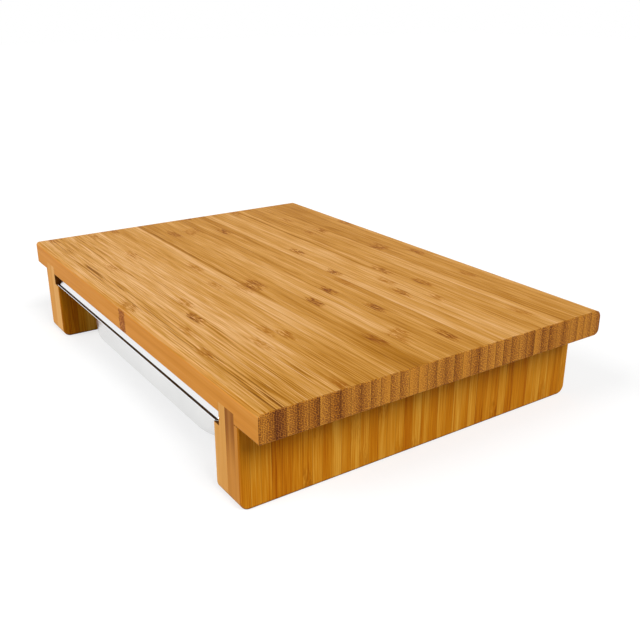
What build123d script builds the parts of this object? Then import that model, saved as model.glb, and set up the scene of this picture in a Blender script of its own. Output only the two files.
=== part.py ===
from build123d import *
import math
import os

# Bamboo cutting board: a laminated top on two end panels, and a steel tray that slides beneath the top.
# Lengths are in millimetres and angles in degrees. The origin lies on the table, under the board's middle.
# X runs along the board, from the left panel to the right one, Y runs from front to back, and Z is up.

# Top
board_length = 430
board_width = 300
board_thickness = 20
overall_height = 80
edge_strip_width = 11
inner_strip_count = 36
long_edge_radius = 3
under_edge_radius = 1
end_edge_ease = 0.6

# End panels, each of two glued layers of upright staves
leg_overhang = 26
layer_thickness = 16
stave_count = 39
foot_corner_radius = 11
leg_edge_ease = 0.8

# Tongue on top of each end panel, and the groove that carries the tray
outer_shoulder = 4.5
tongue_height = 7.5
groove_depth = 7.5
groove_height = 9

# Tray
rim_width = 265
rim_end_clearance = 2
rim_top_clearance = 0.4
runner_clearance = 0.3
tray_set_back = 0.3
tray_floor_clearance = 9.6
sheet = 0.8
flange_width = 12.5
rim_corner_radius = 8
body_corner_radius = 55
wall_draft = 4
wall_bend = 2.2
floor_radius = 9
lip_bend = 0.8

# Lip of the tray: a sloping skirt that ends in a narrow flat edge
skirt_angle = 30
edge_width = 1.8
edge_thickness = 0.9

# How far every cut runs past the piece that it cuts
overrun = 5

# Heights and places that follow from the sizes above
underside = overall_height - board_thickness
leg_thickness = 2 * layer_thickness
leg_outer_x = board_length / 2 - leg_overhang
leg_middle_x = leg_outer_x - layer_thickness
leg_inner_x = leg_outer_x - leg_thickness
tongue_outer_x = leg_outer_x - outer_shoulder
groove_wall_x = leg_inner_x + groove_depth
groove_floor = underside - groove_height
tongue_top = underside + tongue_height
inner_strip_width = (board_width - 2 * edge_strip_width) / inner_strip_count
stave_width = board_width / stave_count
rim_length = 2 * (groove_wall_x - rim_end_clearance)
rim_top = underside - rim_top_clearance
lip_bottom = groove_floor + runner_clearance
edge_top = lip_bottom + edge_thickness
tray_middle_y = tray_set_back + rim_width / 2 - board_width / 2


def block(low, high):
    """A box between two opposite corners."""
    size = [top - bottom for bottom, top in zip(low, high)]
    middle = [(top + bottom) / 2 for bottom, top in zip(low, high)]
    return Pos(*middle) * Box(*size)


def slices(blank, borders):
    """The pieces of a blank between neighbouring borders across the width, from front to back."""
    room = blank.bounding_box()
    pieces = []
    for index in range(len(borders) - 1):
        front = borders[index] - (overrun if index == 0 else 0)
        back = borders[index + 1] + (overrun if index == len(borders) - 2 else 0)
        low = (room.min.X - overrun, front, room.min.Z - overrun)
        high = (room.max.X + overrun, back, room.max.Z + overrun)
        pieces.append((blank & block(low, high)).solid())
    return pieces


# Top: one eased board with a housing across its underside for each panel's tongue, sawn into its strips
def top_strips():
    section = Rectangle(board_width, board_thickness)
    section = fillet(section.vertices().group_by(Axis.Y)[-1], long_edge_radius)
    section = fillet(section.vertices().group_by(Axis.Y)[0], under_edge_radius)
    board = extrude(Plane.YZ * section, amount=board_length / 2, both=True)
    by_length = board.faces().sort_by(Axis.X)
    board = chamfer(by_length[0].edges() + by_length[-1].edges(), end_edge_ease)
    board = Pos(0, 0, underside + board_thickness / 2) * board
    reach = board_width / 2 + overrun
    housing = block((groove_wall_x, -reach, underside - overrun), (tongue_outer_x, reach, tongue_top))
    board = board - housing - mirror(housing, about=Plane.YZ)
    inner_front = edge_strip_width - board_width / 2
    borders = [inner_front + index * inner_strip_width for index in range(inner_strip_count + 1)]
    return slices(board, [-board_width / 2] + borders + [board_width / 2])


# One layer of the right end panel: a slab with rounded lower corners and one eased face
def layer_blank(from_x, eased_face):
    outline = Rectangle(board_width, tongue_top, align=(Align.CENTER, Align.MIN))
    outline = fillet(outline.vertices().group_by(Axis.Y)[0], foot_corner_radius)
    slab = extrude(Plane.YZ.offset(from_x) * outline, amount=layer_thickness)
    face = slab.faces().sort_by(Axis.X)[eased_face]
    return chamfer(face.edges().sort_by(Axis.Z)[:-1], leg_edge_ease)


def stave_borders():
    return [index * stave_width - board_width / 2 for index in range(stave_count + 1)]


# Outer layer: a shoulder under the top, and the outer part of the tongue
def outer_staves():
    reach = board_width / 2 + overrun
    low = (tongue_outer_x, -reach, underside)
    high = (leg_outer_x + overrun, reach, tongue_top + overrun)
    return slices(layer_blank(leg_middle_x, -1) - block(low, high), stave_borders())


# Inner layer: a rebate that makes the tray's groove with the top, and the inner part of the tongue
def inner_staves():
    reach = board_width / 2 + overrun
    low = (leg_inner_x - overrun, -reach, groove_floor)
    high = (groove_wall_x, reach, tongue_top + overrun)
    return slices(layer_blank(leg_inner_x, 0) - block(low, high), stave_borders())


# Tray bowl: a drafted block with rounded corners and a rounded floor edge, drawn in from the rim by an inset
def bowl(inset, floor, mouth, edge_radius):
    draw_in = inset - (mouth - rim_top) * math.tan(math.radians(wall_draft))
    corner = body_corner_radius + flange_width - draw_in
    outline = RectangleRounded(rim_length - 2 * draw_in, rim_width - 2 * draw_in, corner)
    blank = extrude(Pos(0, 0, mouth) * outline, amount=mouth - floor, dir=(0, 0, -1), taper=wall_draft)
    return fillet(blank.faces().sort_by(Axis.Z)[0].edges(), edge_radius)


# Block inside the tray's skirt: its sides slope in upwards, and at the flat edge they lie in by an inset
def skirt(inset, bottom, top):
    draw_in = inset - (edge_top - bottom) * math.tan(math.radians(skirt_angle))
    length, width = rim_length - 2 * draw_in, rim_width - 2 * draw_in
    outline = RectangleRounded(length, width, rim_corner_radius - draw_in)
    return extrude(Pos(0, 0, bottom) * outline, amount=top - bottom, taper=skirt_angle)


# Largest level face of a solid within half a sheet of a height
def level_face(solid, height):
    level_faces = solid.faces().filter_by(Plane.XY)
    near_faces = level_faces.filter_by_position(Axis.Z, height - sheet / 2, height + sheet / 2)
    return near_faces.sort_by(SortBy.AREA)[-1]


# Tray: bowl, flat rim and turned-down skirt with a flat edge, pressed from one sheet
def tray():
    wall = sheet / math.cos(math.radians(wall_draft))
    skirt_wall = sheet / math.cos(math.radians(skirt_angle))
    flange_underside = rim_top - sheet
    under_rim = skirt(edge_width + skirt_wall, lip_bottom - overrun, flange_underside)

    shell = skirt(edge_width, edge_top, rim_top) - under_rim
    shell += bowl(flange_width, tray_floor_clearance, rim_top, floor_radius)
    shell = chamfer(level_face(shell, flange_underside).inner_wires()[0].edges(), wall_bend)
    shell -= bowl(flange_width + wall, tray_floor_clearance + sheet, rim_top + overrun, floor_radius - sheet)

    outline = RectangleRounded(rim_length, rim_width, rim_corner_radius)
    shell += extrude(Pos(0, 0, lip_bottom) * outline, amount=edge_thickness) - under_rim

    shell = chamfer(level_face(shell, rim_top).inner_wires()[0].edges(), wall_bend + sheet / 2)
    shell = chamfer(level_face(shell, rim_top).outer_wire().edges(), lip_bend)
    return Pos(0, tray_middle_y, 0) * shell.solid()


os.makedirs("parts", exist_ok=True)

for number, strip in enumerate(top_strips(), start=1):
    export_step(strip, f"parts/top_strip_{number:02d}.step")

for layer_name, staves in (("outer", outer_staves()), ("inner", inner_staves())):
    right = Compound(staves)
    export_step(right, f"parts/right_leg_{layer_name}_staves.step")
    export_step(mirror(right, about=Plane.YZ), f"parts/left_leg_{layer_name}_staves.step")

export_step(tray(), "parts/tray.step")
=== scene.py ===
import math

import bmesh
import bpy
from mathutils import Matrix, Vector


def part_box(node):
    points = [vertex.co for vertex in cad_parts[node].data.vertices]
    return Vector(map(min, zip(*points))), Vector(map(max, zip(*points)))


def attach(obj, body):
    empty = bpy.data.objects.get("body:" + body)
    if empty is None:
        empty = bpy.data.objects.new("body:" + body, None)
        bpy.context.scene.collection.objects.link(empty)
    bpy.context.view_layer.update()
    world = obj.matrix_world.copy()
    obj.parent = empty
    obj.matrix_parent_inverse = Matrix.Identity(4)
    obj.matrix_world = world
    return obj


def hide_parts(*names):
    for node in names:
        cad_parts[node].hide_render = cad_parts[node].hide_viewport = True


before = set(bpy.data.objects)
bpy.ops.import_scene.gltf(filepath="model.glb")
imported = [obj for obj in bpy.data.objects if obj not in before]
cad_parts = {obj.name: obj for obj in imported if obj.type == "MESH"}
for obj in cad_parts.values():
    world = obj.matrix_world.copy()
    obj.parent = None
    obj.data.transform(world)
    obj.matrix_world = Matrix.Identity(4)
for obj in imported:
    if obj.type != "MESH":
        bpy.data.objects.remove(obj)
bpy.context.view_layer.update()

# Top
# Thirty-eight strips of bamboo stand on edge, glued side by side with their fibres along the board,
# planed flat, sanded and oiled. The long edges are rounded, and the ends show the cut fibre bundles.
strip_names = sorted(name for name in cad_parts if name.startswith("top_strip"))
first_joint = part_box(strip_names[0])[1].y
second_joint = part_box(strip_names[1])[1].y
strip_width = second_joint - first_joint
inner_strip_count = len(strip_names) - 2


def colour(red, green, blue):
    """A colour given from 0 to 255, as a shader takes it."""
    shares = [value / 255 for value in (red, green, blue)]
    return [share / 12.92 if share < 0.04045 else ((share + 0.055) / 1.055) ** 2.4 for share in shares] + [1]


class Finish:
    """A material in the making. Each call adds one step to it and gives that step's outcome."""

    def __init__(self, name):
        self.material = bpy.data.materials.new(name)
        self.material.use_nodes = True
        self.tree = self.material.node_tree
        self.shader = self.tree.nodes["Principled BSDF"]

    def step(self, kind):
        return self.tree.nodes.new("ShaderNode" + kind)

    def feed(self, socket, value):
        if isinstance(value, bpy.types.NodeSocket):
            self.tree.links.new(value, socket)
        else:
            socket.default_value = value

    def position(self):
        """Lengthwise, crosswise and upward place on the piece, in metres."""
        parts = self.step("SeparateXYZ")
        self.feed(parts.inputs[0], self.step("TexCoord").outputs["Object"])
        return list(parts.outputs)

    def facing(self):
        """How squarely the surface faces along each of the three directions, from 0 to 1."""
        parts = self.step("SeparateXYZ")
        self.feed(parts.inputs[0], self.step("TexCoord").outputs["Normal"])
        return [self.size(part) for part in parts.outputs]

    def calc(self, operation, *values):
        sum_step = self.step("Math")
        sum_step.operation = operation
        for socket, value in zip(sum_step.inputs, values):
            self.feed(socket, value)
        return sum_step.outputs[0]

    def plus(self, first, second):
        return self.calc("ADD", first, second)

    def minus(self, first, second):
        return self.calc("SUBTRACT", first, second)

    def times(self, first, *others):
        for other in others:
            first = self.calc("MULTIPLY", first, other)
        return first

    def size(self, value):
        """A value without its sign."""
        return self.calc("ABSOLUTE", value)

    def slope(self, value, factor, base):
        """A base, plus factor for each unit of value."""
        return self.calc("MULTIPLY_ADD", value, factor, base)

    def sway(self, value, amount, base):
        """A base, plus or minus up to half of amount as value goes from 0 to 1."""
        return self.slope(self.minus(value, 0.5), amount, base)

    def rise(self, value, low, high, bottom=0.0, top=1.0):
        """A smooth rise from bottom to top while value goes from low to high."""
        ramp = self.step("MapRange")
        ramp.interpolation_type = "SMOOTHSTEP"
        names = ("Value", "From Min", "From Max", "To Min", "To Max")
        for name, number in zip(names, (value, low, high, bottom, top)):
            self.feed(ramp.inputs[name], number)
        return ramp.outputs["Result"]

    def fall(self, value, low, high, top=1.0, bottom=0.0):
        """A smooth fall from top to bottom while value goes from low to high."""
        return self.rise(value, low, high, top, bottom)

    def vector(self, *parts):
        joined = self.step("CombineXYZ")
        for socket, value in zip(joined.inputs, parts):
            self.feed(socket, value)
        return joined.outputs[0]

    def draws(self, number, seed):
        """Three numbers from 0 to 1 that belong to a whole number."""
        dice = self.step("TexWhiteNoise")
        dice.noise_dimensions = "2D"
        self.feed(dice.inputs["Vector"], self.vector(number, seed))
        parts = self.step("SeparateColor")
        self.feed(parts.inputs[0], dice.outputs["Color"])
        return list(parts.outputs)

    def cloud(self, where, detail=2.0):
        """Soft uneven values around one half, one change for each unit of where."""
        noise = self.step("TexNoise")
        self.feed(noise.inputs["Vector"], where)
        self.feed(noise.inputs["Scale"], 1.0)
        self.feed(noise.inputs["Detail"], detail)
        self.feed(noise.inputs["Roughness"], 0.5)
        return noise.outputs[0]

    def blend(self, share, first, second, mode="MIX"):
        mix = self.step("Mix")
        mix.data_type = "RGBA"
        mix.blend_type = mode
        for socket, value in zip((mix.inputs[0], mix.inputs[6], mix.inputs[7]), (share, first, second)):
            self.feed(socket, value)
        return mix.outputs[2]

    def tones(self, share, stops):
        """A colour between neighbouring stops, each a share and a colour."""
        ramp = self.step("ValToRGB")
        self.feed(ramp.inputs[0], share)
        elements = ramp.color_ramp.elements
        while len(elements) < len(stops):
            elements.new(1.0)
        for element, (at, tone) in zip(elements, stops):
            element.position = at
            element.color = tone
        return ramp.outputs[0]

    def roughen(self, height, strength, depth):
        """Fine relief of the surface, so deep in metres."""
        relief = self.step("Bump")
        self.feed(relief.inputs["Strength"], strength)
        self.feed(relief.inputs["Distance"], depth)
        self.feed(relief.inputs["Height"], height)
        self.feed(self.shader.inputs["Normal"], relief.outputs[0])


class Bamboo(Finish):
    """Glued bamboo: strips side by side across the width, with fibres along one direction."""

    def __init__(self, name, fibre_way, depth_way, joint_from, width, joints, seed):
        super().__init__(name)
        self.seed = seed
        place = self.position()
        self.along, self.across, self.depth = place[fibre_way], place[1], place[depth_way]

        # A face counts as a cut end or as a side where it looks squarely enough that way
        self.faces = self.facing()
        self.end_share = self.rise(self.faces[fibre_way], 0.55, 0.8)
        self.side_share = self.rise(self.faces[1], 0.85, 0.97)

        # Strips are counted from the first joint, and the outermost two are as wide as they come
        share = self.calc("DIVIDE", self.minus(self.across, joint_from), width)
        within = self.calc("MINIMUM", self.calc("MAXIMUM", share, -0.5), joints + 0.5)
        self.number = self.calc("FLOOR", within)
        self.in_strip = self.minus(share, self.number)
        nearest = self.calc("ROUND", self.calc("MINIMUM", self.calc("MAXIMUM", share, 0.0), joints))
        self.joint_gap = self.times(self.size(self.minus(share, nearest)), width)

    def streaks(self, length, thickness, detail=2.0, wander=0.0, number=None):
        """Uneven streaks along the fibres, about so long and so thick, fresh in every strip."""
        shift_per_strip = 7.31
        shift = self.times(self.number if number is None else number, shift_per_strip)
        along = self.slope(self.along, 1 / length, shift)
        across = self.slope(self.plus(self.across, wander), 1 / thickness, shift)
        return self.cloud(self.vector(along, across, self.times(self.depth, 1 / thickness)), detail)

    def node_mark(self, ends, fray, core, reach, grain, bare, full):
        """A mark round a node: frayed at its ends along the fibres, and broken up by the grain."""
        off_node = self.size(self.slope(ends, fray, self.from_node))
        return self.times(self.fall(off_node, core, reach), self.rise(grain, bare, full))

    def grow_nodes(self, spacing, start_at, strength):
        """Ragged brown marks, one to each spacing along a strip, where the fibres bend aside."""
        node_seed = self.seed + 11.0
        bend_near = 0.003
        bend_far = 0.024
        bend_aside = 0.004
        least_patch = 0.008
        patch_growth = 0.009
        patch_part = 0.30
        least_dash = 0.011
        dash_growth = 0.010
        dash_part = 0.62
        middle_from = 0.3
        middle_room = 0.4
        least_depth = 0.45 * strength
        depth_growth = 0.8 * strength

        place_draw, size_draw, depth_draw = self.draws(self.number, node_seed)
        turns = self.calc("DIVIDE", self.plus(self.along, start_at(self, place_draw)), spacing)
        self.from_node = self.times(self.minus(self.calc("FRACT", turns), 0.5), spacing)
        ragged = self.minus(self.streaks(length=0.014, thickness=0.0026), 0.5)
        self.frayed = self.minus(self.streaks(length=0.016, thickness=0.0010), 0.5)
        near_node = self.fall(self.size(self.from_node), bend_near, bend_far)
        self.wander = self.times(ragged, near_node, bend_aside)

        patch = self.node_mark(
            ragged,
            fray=0.030,
            core=0.0035,
            reach=self.slope(size_draw, patch_growth, least_patch),
            grain=self.streaks(length=0.008, thickness=0.0016, detail=3.0, wander=self.wander),
            bare=0.40,
            full=0.52,
        )
        dashes = self.node_mark(
            self.frayed,
            fray=0.036,
            core=0.005,
            reach=self.slope(size_draw, dash_growth, least_dash),
            grain=self.streaks(length=0.010, thickness=0.0010, detail=1.0, wander=self.wander),
            bare=0.46,
            full=0.54,
        )
        marks = self.slope(dashes, dash_part, self.times(patch, patch_part))
        middle = self.slope(self.strip_turn, middle_room, middle_from)
        off_middle = self.size(self.minus(self.in_strip, middle))
        over_width = self.fall(off_middle, low=0.40, high=0.75, bottom=0.15)
        depth = self.slope(self.times(depth_draw, depth_draw), depth_growth, least_depth)
        self.node_share = self.times(marks, over_width, depth, self.minus(1.0, self.side_share))

    def grow_fibres(self):
        """Broad soft streaks, thin dark lines and fine fibres between them."""
        self.broad = self.streaks(length=0.12, thickness=0.0046, detail=1.0, wander=self.wander)
        self.thin = self.streaks(length=0.060, thickness=0.0010, detail=1.0, wander=self.wander)
        self.fine = self.streaks(length=0.038, thickness=0.0007, detail=2.0, wander=self.wander)
        self.dark_lines = self.fall(self.thin, low=0.37, high=0.46)

    def face_colour(self, stops, strip_contrast, tone_shift, streak_strength, fine_strength, line_strength):
        """Faces along the fibres. The dark lines are plainer in the coarser strips."""
        middle_level = 0.56
        least_line = 0.06
        coarse_line = 0.12
        line_depth = self.slope(self.times(self.coarse, self.coarse), coarse_line, least_line)
        level = self.plus(self.sway(self.tone, strip_contrast, middle_level), tone_shift)
        level = self.sway(self.broad, streak_strength, level)
        level = self.sway(self.fine, fine_strength, level)
        level = self.minus(level, self.times(self.dark_lines, self.times(line_depth, line_strength)))
        return self.tones(level, stops)

    def side_colour(self, side_tone):
        """Sides of the outermost strips: the smooth flat of the bamboo."""
        level = self.sway(self.broad, amount=0.6, base=0.5)
        level = self.sway(self.fine, amount=0.3, base=level)
        return side_tone(self, level)

    def stain_nodes(self, body, side_band):
        """Brown nodes with a golden stain round them, and a speckled band right across a side."""
        golden = colour(255, 236, 150)
        brown = colour(122, 62, 0)
        band_brown = colour(134, 60, 14)
        stain_strength = 1.8
        band_fray = 0.006
        band_core = 0.0050
        band_reach = 0.0068
        specks_along = 450.0
        specks_up = 500.0

        stain = self.calc("MINIMUM", self.times(self.node_share, stain_strength), 1.0)
        body = self.blend(stain, body, golden, "MULTIPLY")
        body = self.blend(self.node_share, body, brown)
        band = self.fall(self.size(self.slope(self.frayed, band_fray, self.from_node)), band_core, band_reach)
        speck_place = self.vector(self.times(self.along, specks_along), self.times(self.depth, specks_up))
        specks = self.rise(self.cloud(speck_place), low=0.42, high=0.58, bottom=side_band / 2, top=side_band)
        return self.blend(self.times(band, specks, self.side_share), body, band_brown)

    def shade_rounded_edges(self, body):
        """Painted shade on the rounded edges: a darker brown that holds down the light they catch."""
        edge_shade_brown = colour(180, 118, 44)
        edge_shade_share = 0.35
        off_top = self.rise(self.faces[1], low=0.2, high=0.5)
        off_side = self.fall(self.faces[1], low=0.85, high=0.98)
        return self.blend(self.times(off_top, off_side, edge_shade_share), body, edge_shade_brown)

    def cut_ends(self, body, stops, end_tone, eased_end):
        """Cut ends: dark fibre bundles in paler pith, crowded towards the outside of the stem."""
        eased_edge_brown = colour(104, 54, 14)
        bundles_per_metre = 900.0
        bundle_scatter = 0.4
        bundle_radius = 0.38
        crowded_growth = 0.14
        bundle_softness = 0.08
        bundle_darkness = 0.62
        patches_per_metre = 260.0
        least_edge_dark = 0.25
        edge_dark_bundles = 0.5

        outside = self.rise(self.strip_turn, low=0.45, high=0.55)
        crowd = self.size(self.minus(outside, self.in_strip))
        cells = self.step("TexVoronoi")
        cells.voronoi_dimensions = "2D"
        self.feed(cells.inputs["Vector"], self.vector(self.across, self.depth))
        self.feed(cells.inputs["Scale"], bundles_per_metre)
        self.feed(cells.inputs["Randomness"], bundle_scatter)
        radius = self.slope(crowd, crowded_growth, bundle_radius)
        self.bundle = self.fall(cells.outputs["Distance"], self.minus(radius, bundle_softness), radius)
        patch_place = [self.times(part, patches_per_metre) for part in (self.across, self.depth)]
        level = self.sway(self.coarse, amount=-0.45, base=end_tone)
        level = self.sway(crowd, amount=-0.2, base=level)
        level = self.minus(level, self.times(self.bundle, bundle_darkness))
        level = self.sway(self.cloud(self.vector(*patch_place), 3.0), amount=0.2, base=level)
        whole = self.blend(self.end_share, body, self.tones(level, stops))
        # The eased edges round the cut ends are darker brown, more so over the bundles. On the panels these
        # edges run along the feet's lower edges, where the darkening is a painted contact shade.
        eased_edge_dark = self.rise(eased_end, low=0.6, high=0.95)
        eased_edge_dark = self.times(eased_edge_dark, self.slope(self.bundle, edge_dark_bundles, least_edge_dark))
        return self.blend(eased_edge_dark, whole, eased_edge_brown)

    def glue_lines(self, whole):
        """Thin dark glue lines, plainer on the cut ends."""
        glue_brown = colour(98, 54, 22)
        glue_core = 0.00010
        glue_reach = 0.00038
        least_glue = 0.22
        end_glue = 0.42
        glue = self.fall(self.joint_gap, glue_core, glue_reach)
        glue = self.times(glue, self.slope(self.end_share, end_glue, least_glue))
        return self.blend(glue, whole, glue_brown)

    def oil(self):
        """Satin oil over fine relief, duller on the cut ends."""
        satin = 0.42
        line_dullness = 0.16
        end_dullness = 0.12
        sheen = 0.04
        line_relief = -0.5
        bundle_relief = -0.8
        dullness = self.slope(self.end_share, end_dullness, self.slope(self.thin, line_dullness, satin))
        self.feed(self.shader.inputs["Roughness"], dullness)
        self.feed(self.shader.inputs["Specular IOR Level"], sheen)
        fibres = self.plus(self.fine, self.times(self.dark_lines, line_relief))
        fibres = self.times(fibres, self.minus(1.0, self.end_share))
        bundles = self.times(self.bundle, bundle_relief, self.end_share)
        self.roughen(self.plus(fibres, bundles), strength=0.35, depth=0.00012)

    def finish(self, face_stops, end_stops, side_tone, node_spacing, node_start, node_strength, side_band,
               line_strength, fine_strength, streak_strength, strip_contrast, tone_shift, end_tone,
               eased_end):
        """The whole look of a bamboo piece, from its fibres to its oil. Gives its colour."""
        self.tone, self.coarse, self.strip_turn = self.draws(self.number, self.seed)
        self.grow_nodes(node_spacing, node_start, node_strength)
        self.grow_fibres()
        faces = self.face_colour(
            face_stops, strip_contrast, tone_shift, streak_strength, fine_strength, line_strength)
        body = self.blend(self.side_share, faces, self.side_colour(side_tone))
        # Painted shade darkens the rounded edges
        body = self.shade_rounded_edges(self.stain_nodes(body, side_band))
        whole = self.glue_lines(self.cut_ends(body, end_stops, end_tone, eased_end))
        self.feed(self.shader.inputs["Base Color"], whole)
        self.oil()
        return whole


def ease_edges(piece, angle=28):
    """Smooth shading over rounded edges, and crisp shading over sharper ones."""
    for face in piece.data.polygons:
        face.use_smooth = True
    piece.data.set_sharp_from_angle(angle=math.radians(angle))


top_wood = Bamboo("top_bamboo_oiled", 0, 2, first_joint, strip_width, inner_strip_count, seed=3.0)
top_node_spacing = 0.33
front_band_x = 0.0066
top_face_stops = (
    (0.0, colour(122, 70, 0)),
    (0.25, colour(163, 104, 12)),
    (0.55, colour(198, 142, 64)),
    (0.9, colour(228, 180, 126)),
)
top_end_stops = (
    (0.0, colour(96, 50, 24)),
    (0.4, colour(152, 90, 42)),
    (0.7, colour(196, 122, 38)),
    (1.0, colour(216, 148, 56)),
)
top_side_stops = ((0.2, colour(198, 123, 40)), (0.5, colour(214, 141, 54)), (0.8, colour(225, 155, 72)))


def top_node_start(wood, node_at):
    """Nodes fall anywhere along the inner strips, and at one place on the front strip."""
    front = wood.calc("LESS_THAN", wood.number, -0.5)
    anywhere = wood.times(node_at, top_node_spacing)
    fixed = top_node_spacing / 2 - front_band_x
    return wood.plus(wood.times(anywhere, wood.minus(1.0, front)), wood.times(front, fixed))


def top_side_tone(wood, level):
    return wood.tones(level, top_side_stops)


def long_streak(place, half_width, fade_from, fade_to):
    """A streak along the top at a place across it, that fades out towards the right."""
    core = 0.0004
    wander_width = 0.005
    wander = top_wood.streaks(length=0.09, thickness=0.02, number=0.0)
    off = top_wood.size(top_wood.sway(wander, wander_width, top_wood.minus(top_wood.across, place)))
    grain = top_wood.streaks(length=0.04, thickness=0.0015, number=0.0)
    line = top_wood.fall(off, core, half_width)
    line = top_wood.times(line, top_wood.rise(grain, low=0.35, high=0.6, bottom=0.45))
    return top_wood.times(line, top_wood.fall(top_wood.along, fade_from, fade_to))


# Two dark streaks run along the top, each with a pale one beside it
dark_streaks = top_wood.plus(
    long_streak(place=-0.044, half_width=0.0026, fade_from=0.02, fade_to=0.07),
    long_streak(place=0.069, half_width=0.0022, fade_from=0.03, fade_to=0.09),
)
pale_streaks = top_wood.plus(
    long_streak(place=-0.049, half_width=0.0028, fade_from=-0.09, fade_to=0.02),
    long_streak(place=0.075, half_width=0.0026, fade_from=-0.02, fade_to=0.05),
)
dark_streak_tone = -0.30
pale_streak_tone = 0.12
top_streaks = top_wood.slope(dark_streaks, dark_streak_tone, top_wood.times(pale_streaks, pale_streak_tone))

# Painted shade: the top is a little darker towards its left end and its near right corner, and paler towards
# the front, as the light falls over it
painted_shade_per_metre = -0.6
right_end = top_wood.rise(top_wood.along, low=0.10, high=0.21)
right_corner_shade = top_wood.times(right_end, top_wood.fall(top_wood.across, low=-0.06, high=0.06, top=0.2))
left_end_shade = top_wood.fall(top_wood.along, low=-0.21, high=-0.05, top=0.08)
streaks_and_painted_shade = top_wood.minus(top_streaks, top_wood.plus(right_corner_shade, left_end_shade))
streaks_and_painted_shade = top_wood.slope(top_wood.across, painted_shade_per_metre, streaks_and_painted_shade)

# The front strips show their fibres plainly and have darker ends, and the ends at the back are paler
front_lines = top_wood.fall(top_wood.number, low=1.0, high=7.0, top=3.4, bottom=1.0)
front_fibres = top_wood.fall(top_wood.number, low=3.0, high=12.0, top=1.2, bottom=0.85)
front_ends = top_wood.rise(top_wood.number, low=1.0, high=9.0, bottom=0.67, top=0.97)
back_ends = top_wood.rise(top_wood.number, low=31.0, high=35.0, top=0.2)
top_eased = top_wood.times(top_wood.faces[0], top_wood.calc("MAXIMUM", *top_wood.faces[1:]))

top_wood.finish(
    face_stops=top_face_stops,
    end_stops=top_end_stops,
    side_tone=top_side_tone,
    node_spacing=top_node_spacing,
    node_start=top_node_start,
    node_strength=1.15,
    side_band=0.9,
    line_strength=front_lines,
    fine_strength=front_fibres,
    streak_strength=0.38,
    strip_contrast=0.26,
    tone_shift=streaks_and_painted_shade,
    end_tone=top_wood.plus(front_ends, back_ends),
    eased_end=top_wood.times(top_eased, 2.0),
)
for name in strip_names:
    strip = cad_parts[name]
    strip.data.materials.clear()
    strip.data.materials.append(top_wood.material)
    ease_edges(strip)


def reshaped(node_name, piece_name, move):
    """A new piece in the place of a node, with the node's points moved."""
    flat = math.radians(0.1)
    mesh = bmesh.new()
    mesh.from_mesh(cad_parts[node_name].data)
    bmesh.ops.dissolve_limit(mesh, angle_limit=flat, verts=mesh.verts, edges=mesh.edges)
    for point in mesh.verts:
        move(point.co)
    bmesh.ops.triangulate(mesh, faces=mesh.faces)
    data = bpy.data.meshes.new(piece_name)
    mesh.to_mesh(data)
    mesh.free()
    piece = bpy.data.objects.new(piece_name, data)
    bpy.context.collection.objects.link(piece)
    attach(piece, "board")
    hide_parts(node_name)
    return piece


# The back edge is rounded more fully than the front one, above and below
back_strip_low, back_strip_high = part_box(strip_names[-1])
plain_upper_round = 0.003
plain_lower_round = 0.001
back_upper_round = 0.0055
back_lower_round = 0.005
hair = 1e-6


def round_back_edge(point):
    """Takes a point of the plain rounded edge to the fuller one, at the same turn round the edge."""
    for level, way, plain, full in ((back_strip_high.z, 1, plain_upper_round, back_upper_round),
                                    (back_strip_low.z, -1, plain_lower_round, back_lower_round)):
        out = point.y - (back_strip_high.y - plain)
        up = way * (point.z - level) + plain
        reach = math.hypot(out, up)
        if min(out, up) > -hair and reach > hair:
            grown = (reach + full - plain) / reach
            point.y = back_strip_high.y - full + out * grown
            point.z = level + way * (up * grown - full)
            return


back_strip = reshaped(strip_names[-1], "back_edge_strip", round_back_edge)
back_strip.data.materials.append(top_wood.material)
ease_edges(back_strip)

# End panels
# Each panel is two layers of upright bamboo staves, glued back to back. The panel's tongue is glued into
# a housing under the top, and the inner layer's shoulder makes the groove that the tray hangs in.
leg_names = [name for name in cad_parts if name.endswith("staves")]
leg_low, leg_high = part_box("right_leg_outer_staves")
leg_middle = leg_low.x
groove_wall = 0.1645
groove_floor = 0.051
stave_count = 39
stave_width = (leg_high.y - leg_low.y) / stave_count
leg_node_spacing = 0.22
leg_face_stops = (
    (0.0, colour(140, 62, 0)),
    (0.3, colour(184, 102, 4)),
    (0.6, colour(207, 131, 20)),
    (0.95, colour(230, 167, 60)),
)
leg_end_stops = (
    (0.0, colour(104, 56, 16)),
    (0.4, colour(152, 92, 32)),
    (0.7, colour(186, 124, 52)),
    (1.0, colour(210, 154, 82)),
)
inner_edge_stops = ((0.2, colour(206, 140, 64)), (0.5, colour(220, 158, 80)), (0.8, colour(230, 172, 96)))
outer_edge_stops = ((0.2, colour(192, 122, 44)), (0.5, colour(210, 142, 60)), (0.8, colour(222, 156, 74)))
tongue_brown = colour(128, 66, 10)
# Painted shade colours for the groove and for the contact shadow along the feet
groove_shade_brown = colour(84, 44, 10)
foot_shade_brown = colour(66, 38, 16)

first_stave_joint = leg_low.y + stave_width
leg_wood = Bamboo("leg_bamboo_oiled", 2, 0, first_stave_joint, stave_width, stave_count - 2, seed=6.0)
from_middle = leg_wood.size(leg_wood.depth)
outer_layer = leg_wood.calc("GREATER_THAN", from_middle, leg_middle)
right_panel = leg_wood.calc("GREATER_THAN", leg_wood.depth, 0.0)
# Eased edges between the panels' faces and their ends, darkened as painted contact shade along the feet
leg_edge_shade = leg_wood.times(leg_wood.faces[2], leg_wood.faces[0])

# Each layer of each panel counts its staves on from another number, so that no two look the same
outer_from = 50.0
right_from = 100.0
leg_wood.number = leg_wood.slope(outer_layer, outer_from, leg_wood.number)
leg_wood.number = leg_wood.slope(right_panel, right_from, leg_wood.number)


def leg_node_start(wood, node_at):
    return wood.times(node_at, leg_node_spacing)


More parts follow.
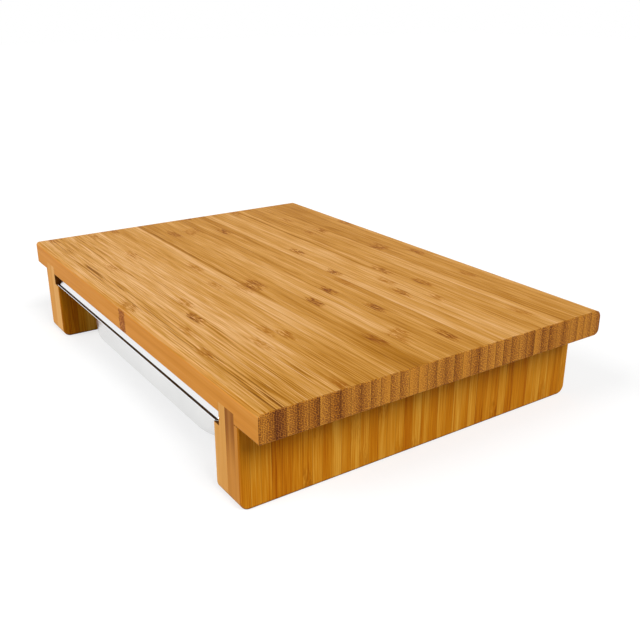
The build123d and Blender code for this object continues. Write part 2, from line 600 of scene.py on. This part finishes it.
def leg_side_tone(wood, level):
    """The inner layer's edge is pale, and the outer layer's is browner towards the joint and the tongue."""
    left_paler = 0.2
    tongue_side = leg_middle + 0.0105
    tongue_end = leg_middle + 0.0125
    level = wood.plus(level, wood.times(wood.minus(1.0, right_panel), left_paler))
    pale = wood.tones(level, inner_edge_stops)
    brown = wood.tones(level, outer_edge_stops)
    tongue = wood.fall(from_middle, tongue_side, tongue_end)
    tongue = wood.times(tongue, wood.rise(wood.along, low=0.022, high=0.062, bottom=0.1, top=0.85))
    tongue = wood.times(tongue, wood.fall(level, low=0.25, high=0.75, bottom=0.55))
    brown = wood.blend(wood.times(tongue, right_panel), brown, tongue_brown)
    return wood.blend(outer_layer, pale, brown)


panel_colour = leg_wood.finish(
    face_stops=leg_face_stops,
    end_stops=leg_end_stops,
    side_tone=leg_side_tone,
    node_spacing=leg_node_spacing,
    node_start=leg_node_start,
    node_strength=0.45,
    side_band=0.0,
    line_strength=1.4,
    fine_strength=0.9,
    streak_strength=0.65,
    strip_contrast=0.42,
    tone_shift=0.04,
    end_tone=0.82,
    eased_end=leg_wood.times(leg_edge_shade, 2.0),
)

# The groove is cut across the fibres. Painted shade darkens it as a recess, and a painted contact shadow
# darkens the lowest strip of the panels' broad faces
groove_margin = 0.0002
groove_shade_share = 0.8
beside_wall = leg_wood.calc("LESS_THAN", from_middle, groove_wall + groove_margin)
above_floor = leg_wood.calc("GREATER_THAN", leg_wood.along, groove_floor - groove_margin)
groove_shade = leg_wood.times(beside_wall, above_floor)
foot_contact_shade = leg_wood.fall(leg_wood.along, low=0.0006, high=0.0018, top=0.7)
foot_contact_shade = leg_wood.times(foot_contact_shade, leg_wood.faces[0])
panel_colour = leg_wood.blend(leg_wood.times(groove_shade, groove_shade_share), panel_colour, groove_shade_brown)
panel_colour = leg_wood.blend(foot_contact_shade, panel_colour, foot_shade_brown)
leg_wood.feed(leg_wood.shader.inputs["Base Color"], panel_colour)

# The foot's corners are only a little rounded
plain_foot_corner = 0.011
foot_corner = 0.007


def tighten_foot(point):
    """Lowers a point of the plain foot corner on to the tighter one."""
    out = abs(point.y) - leg_high.y + plain_foot_corner
    down = plain_foot_corner - point.z
    if min(out, down) > -hair:
        inset = plain_foot_corner - math.hypot(out, down)
        past = max(abs(point.y) - leg_high.y + foot_corner, 0.0)
        point.z = foot_corner - math.sqrt(max((foot_corner - inset) ** 2 - past ** 2, 0.0))


for name in leg_names:
    panel = reshaped(name, name.replace("leg", "panel"), tighten_foot)
    panel.data.materials.append(leg_wood.material)
    ease_edges(panel)

# Tray
# One sheet of stainless steel, pressed into a bowl with sloping walls and large corners. The rim is flat,
# and its skirt slopes down to a narrow flat edge. That edge rests in the grooves, and the tray slides.
tray_low, tray_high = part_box("tray")
tray_half_length = (tray_high.x - tray_low.x) / 2
tray_half_width = (tray_high.y - tray_low.y) / 2
tray_middle_y = (tray_high.y + tray_low.y) / 2
rim_top = tray_high.z
floor_bottom = tray_low.z
sheet = 0.0008
flange_width = 0.0125
rim_corner = 0.005
least_corner = 0.0008
bowl_corner = 0.055
wall_draft = math.radians(4)
mouth_bend = 0.003
floor_bend = 0.0082
skirt_angle = math.radians(30)
skirt_bend = 0.00138
edge_width = 0.0022
edge_thickness = 0.0007
edge_round = 0.00025
runner_clearance = 0.0003
lip_bottom = groove_floor + runner_clearance
corner_steps = 20
floor_steps = 10
mouth_steps = 7
skirt_outer_steps = 6
skirt_inner_steps = 4
edge_steps = 4


def bowl_at(inset, height):
    """A point of the bowl's section: distance in from the rim, height and corner radius."""
    return inset, height, bowl_corner + flange_width - inset


def rim_at(inset, height):
    """A point of the rim's section."""
    return inset, height, max(rim_corner - inset, least_corner)


def bend(middle_inset, middle_height, radius, from_angle, to_angle, steps, kind):
    """Points round a bend of the section."""
    points = []
    for index in range(steps + 1):
        angle = math.radians(from_angle + (to_angle - from_angle) * index / steps)
        points.append(kind(middle_inset + radius * math.cos(angle), middle_height + radius * math.sin(angle)))
    return points


def bowl_side(wall_inset, floor_height, flange_height, floor_radius, mouth_radius):
    """Half of the bowl's section, from the flat floor out to the flat rim."""
    slope = math.tan(wall_draft)
    turn = math.degrees(wall_draft)

    def wall(height):
        return wall_inset + (rim_top - height) * slope

    low = floor_height + floor_radius
    low_inset = wall(low - floor_radius * math.sin(wall_draft)) + floor_radius * math.cos(wall_draft)
    high = flange_height - mouth_radius
    high_inset = wall(high + mouth_radius * math.sin(wall_draft)) - mouth_radius * math.cos(wall_draft)
    floor = bend(low_inset, low, floor_radius, 270, 180 + turn, floor_steps, bowl_at)
    return floor + bend(high_inset, high, mouth_radius, turn, 90, mouth_steps, bowl_at)


inside_wall = flange_width + sheet / math.cos(wall_draft)
inside = bowl_side(inside_wall, floor_bottom + sheet, rim_top, floor_bend, mouth_bend)
outside = bowl_side(flange_width, floor_bottom, rim_top - sheet, floor_bend + sheet, mouth_bend - sheet)
edge_top = lip_bottom + edge_thickness
skirt_slope = math.tan(skirt_angle)
skirt_turn = 180 - math.degrees(skirt_angle)
skirt_top = edge_width + (rim_top - edge_top) * skirt_slope
bend_inset = skirt_top + skirt_bend * math.tan(math.radians(45) - skirt_angle / 2)
bend_height = rim_top - skirt_bend
inner_edge = edge_width + sheet / math.cos(skirt_angle) - edge_thickness * skirt_slope
skirt_outside = bend(bend_inset, bend_height, skirt_bend, 90, skirt_turn, skirt_outer_steps, rim_at)
skirt_inside = bend(bend_inset, bend_height, skirt_bend - sheet, skirt_turn, 90, skirt_inner_steps, rim_at)
flat_edge = [rim_at(edge_width, edge_top)]
flat_edge += bend(edge_round, edge_top - edge_round, edge_round, 90, 180, edge_steps, rim_at)
flat_edge += bend(edge_round, lip_bottom + edge_round, edge_round, 180, 270, edge_steps, rim_at)
flat_edge += [rim_at(inner_edge, lip_bottom)]
section = inside + skirt_outside + flat_edge + skirt_inside + outside[::-1]


def outline(inset, height, corner):
    """One turn round the tray at an inset and a height."""
    points = []
    for quarter, (way_x, way_y) in enumerate(((1, 1), (-1, 1), (-1, -1), (1, -1))):
        middle_x = way_x * (tray_half_length - inset - corner)
        middle_y = way_y * (tray_half_width - inset - corner) + tray_middle_y
        for index in range(corner_steps + 1):
            angle = math.radians(90) * (quarter + index / corner_steps)
            points.append((middle_x + corner * math.cos(angle), middle_y + corner * math.sin(angle), height))
    return points


tray_mesh = bmesh.new()
turns = [[tray_mesh.verts.new(point) for point in outline(*spot)] for spot in section]
for lower, upper in zip(turns, turns[1:]):
    for index in range(len(lower)):
        after = (index + 1) % len(lower)
        tray_mesh.faces.new((lower[index], lower[after], upper[after], upper[index]))
tray_mesh.faces.new(turns[0])
tray_mesh.faces.new(turns[-1])
bmesh.ops.recalc_face_normals(tray_mesh, faces=tray_mesh.faces)
tray_data = bpy.data.meshes.new("steel_tray")
tray_mesh.to_mesh(tray_data)
tray_mesh.free()
tray = bpy.data.objects.new("steel_tray", tray_data)
bpy.context.collection.objects.link(tray)
ease_edges(tray, 40)

# The steel is brushed along its length. A painted highlight brightens the rim, and a painted shade darkens
# the top of its flat edge, though not its cut face
brush_marks_per_metre = (25.0, 900.0, 900.0)
smears_per_metre = 22.0
rim_highlight_from = 0.006
rim_highlight_to = 0.009
cut_face = 0.6 * edge_round
least_dullness = 0.12
brush_dullness = 0.08
smear_dullness = 0.1
satin_stops = ((0.3, colour(223, 223, 222)), (0.7, colour(229, 229, 228)))
rim_highlight_steel = colour(238, 238, 238)
edge_shade_steel = colour(120, 116, 112)
steel = Finish("tray_steel_satin")
place = steel.position()
brush_place = [steel.times(part, marks) for part, marks in zip(place, brush_marks_per_metre)]
brushed = steel.cloud(steel.vector(*brush_place), 3.0)
smears = steel.cloud(steel.vector(*[steel.times(part, smears_per_metre) for part in place]), 3.0)
from_end = steel.minus(tray_half_length, steel.size(place[0]))
from_side = steel.minus(tray_half_width, steel.size(steel.minus(place[1], tray_middle_y)))
from_rim = steel.calc("MINIMUM", from_end, from_side)
edge_shade_mask = steel.calc("LESS_THAN", from_rim, edge_width)
edge_shade_mask = steel.times(edge_shade_mask, steel.calc("GREATER_THAN", from_rim, cut_face))
sheet_colour = steel.tones(smears, satin_stops)
# Painted highlight along the rim
sheet_colour = steel.blend(steel.fall(from_rim, rim_highlight_from, rim_highlight_to), sheet_colour, rim_highlight_steel)
# Painted shade on top of the flat edge
sheet_colour = steel.blend(edge_shade_mask, sheet_colour, edge_shade_steel)
steel.feed(steel.shader.inputs["Base Color"], sheet_colour)
steel.feed(steel.shader.inputs["Metallic"], 1.0)
dullness = steel.slope(smears, smear_dullness, steel.slope(brushed, brush_dullness, least_dullness))
steel.feed(steel.shader.inputs["Roughness"], dullness)
steel.roughen(brushed, strength=0.05, depth=0.00002)
tray.data.materials.append(steel.material)
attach(tray, "drawer")
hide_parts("tray")

# Floor and light
# A white table in a white room, with one broad soft lamp to the front and one to the right. The table is
# plain white to the eye and in reflections, and keeps the shadow of the board.
table_half_size = 6.0
table_grey = (0.4, 0.4, 0.4, 1.0)
table_glow = 0.64
white = (1.0, 1.0, 1.0, 1.0)
room_light = 0.2
room_white = 1.0
bpy.context.scene.view_settings.view_transform = "Standard"
floor_mesh = bmesh.new()
bmesh.ops.create_grid(floor_mesh, x_segments=1, y_segments=1, size=table_half_size)
floor_data = bpy.data.meshes.new("table_top")
floor_mesh.to_mesh(floor_data)
floor_mesh.free()
table = bpy.data.objects.new("table_top", floor_data)
bpy.context.collection.objects.link(table)
paper = Finish("white_paper")
rays = paper.step("LightPath")
seen = paper.calc("MAXIMUM", rays.outputs["Is Camera Ray"], rays.outputs["Is Glossy Ray"])
seen = paper.times(seen, paper.calc("LESS_THAN", rays.outputs["Diffuse Depth"], 0.5))
glow = paper.step("Emission")
paper.feed(glow.inputs["Color"], white)
paper.feed(glow.inputs["Strength"], paper.times(seen, table_glow))
matt = paper.step("BsdfDiffuse")
paper.feed(matt.inputs["Color"], table_grey)
both = paper.step("AddShader")
paper.feed(both.inputs[0], matt.outputs[0])
paper.feed(both.inputs[1], glow.outputs[0])
paper.feed(paper.tree.nodes["Material Output"].inputs["Surface"], both.outputs[0])
table.data.materials.append(paper.material)

world = bpy.data.worlds.new("white_room")
bpy.context.scene.world = world
world.use_nodes = True
room = world.node_tree
rays = room.nodes.new("ShaderNodeLightPath")
seen = room.nodes.new("ShaderNodeMath")
seen.operation = "MAXIMUM"
room.links.new(rays.outputs["Is Camera Ray"], seen.inputs[0])
room.links.new(rays.outputs["Is Glossy Ray"], seen.inputs[1])
straight = room.nodes.new("ShaderNodeMath")
straight.operation = "LESS_THAN"
room.links.new(rays.outputs["Diffuse Depth"], straight.inputs[0])
straight.inputs[1].default_value = 0.5
both = room.nodes.new("ShaderNodeMath")
both.operation = "MULTIPLY"
room.links.new(seen.outputs[0], both.inputs[0])
room.links.new(straight.outputs[0], both.inputs[1])
level = room.nodes.new("ShaderNodeMapRange")
room.links.new(both.outputs[0], level.inputs["Value"])
level.inputs["To Min"].default_value = room_light
level.inputs["To Max"].default_value = room_white
room.nodes["Background"].inputs["Color"].default_value = white
room.links.new(level.outputs["Result"], room.nodes["Background"].inputs["Strength"])


def lamp(name, bearing, height, spread, strength):
    """A broad soft light from a bearing, counted from the right end, and a height, both in degrees."""
    data = bpy.data.lights.new(name, "SUN")
    data.angle = math.radians(spread)
    data.energy = strength
    light = bpy.data.objects.new(name, data)
    light.rotation_euler = (0.0, math.radians(90 - height), math.radians(bearing))
    bpy.context.collection.objects.link(light)


lamp("side_lamp", bearing=4, height=46, spread=30, strength=2.2)
lamp("front_lamp", bearing=-97, height=36, spread=35, strength=2.18)

# Camera
# The view is from above the near front corner, with a normal lens. The lens is given in millimetres on a
# 36 mm sensor, and the camera looks down and round by so many degrees.
camera_place = (0.56882, -0.34845, 0.29657)
look_down = 21.43
look_round = 55.80
camera_data = bpy.data.cameras.new("camera")
camera_data.sensor_width = 36.0
camera_data.lens = 45.457
camera = bpy.data.objects.new("camera", camera_data)
camera.location = camera_place
camera.rotation_euler = (math.radians(90 - look_down), 0.0, math.radians(look_round))
bpy.context.collection.objects.link(camera)
bpy.context.scene.camera = camera
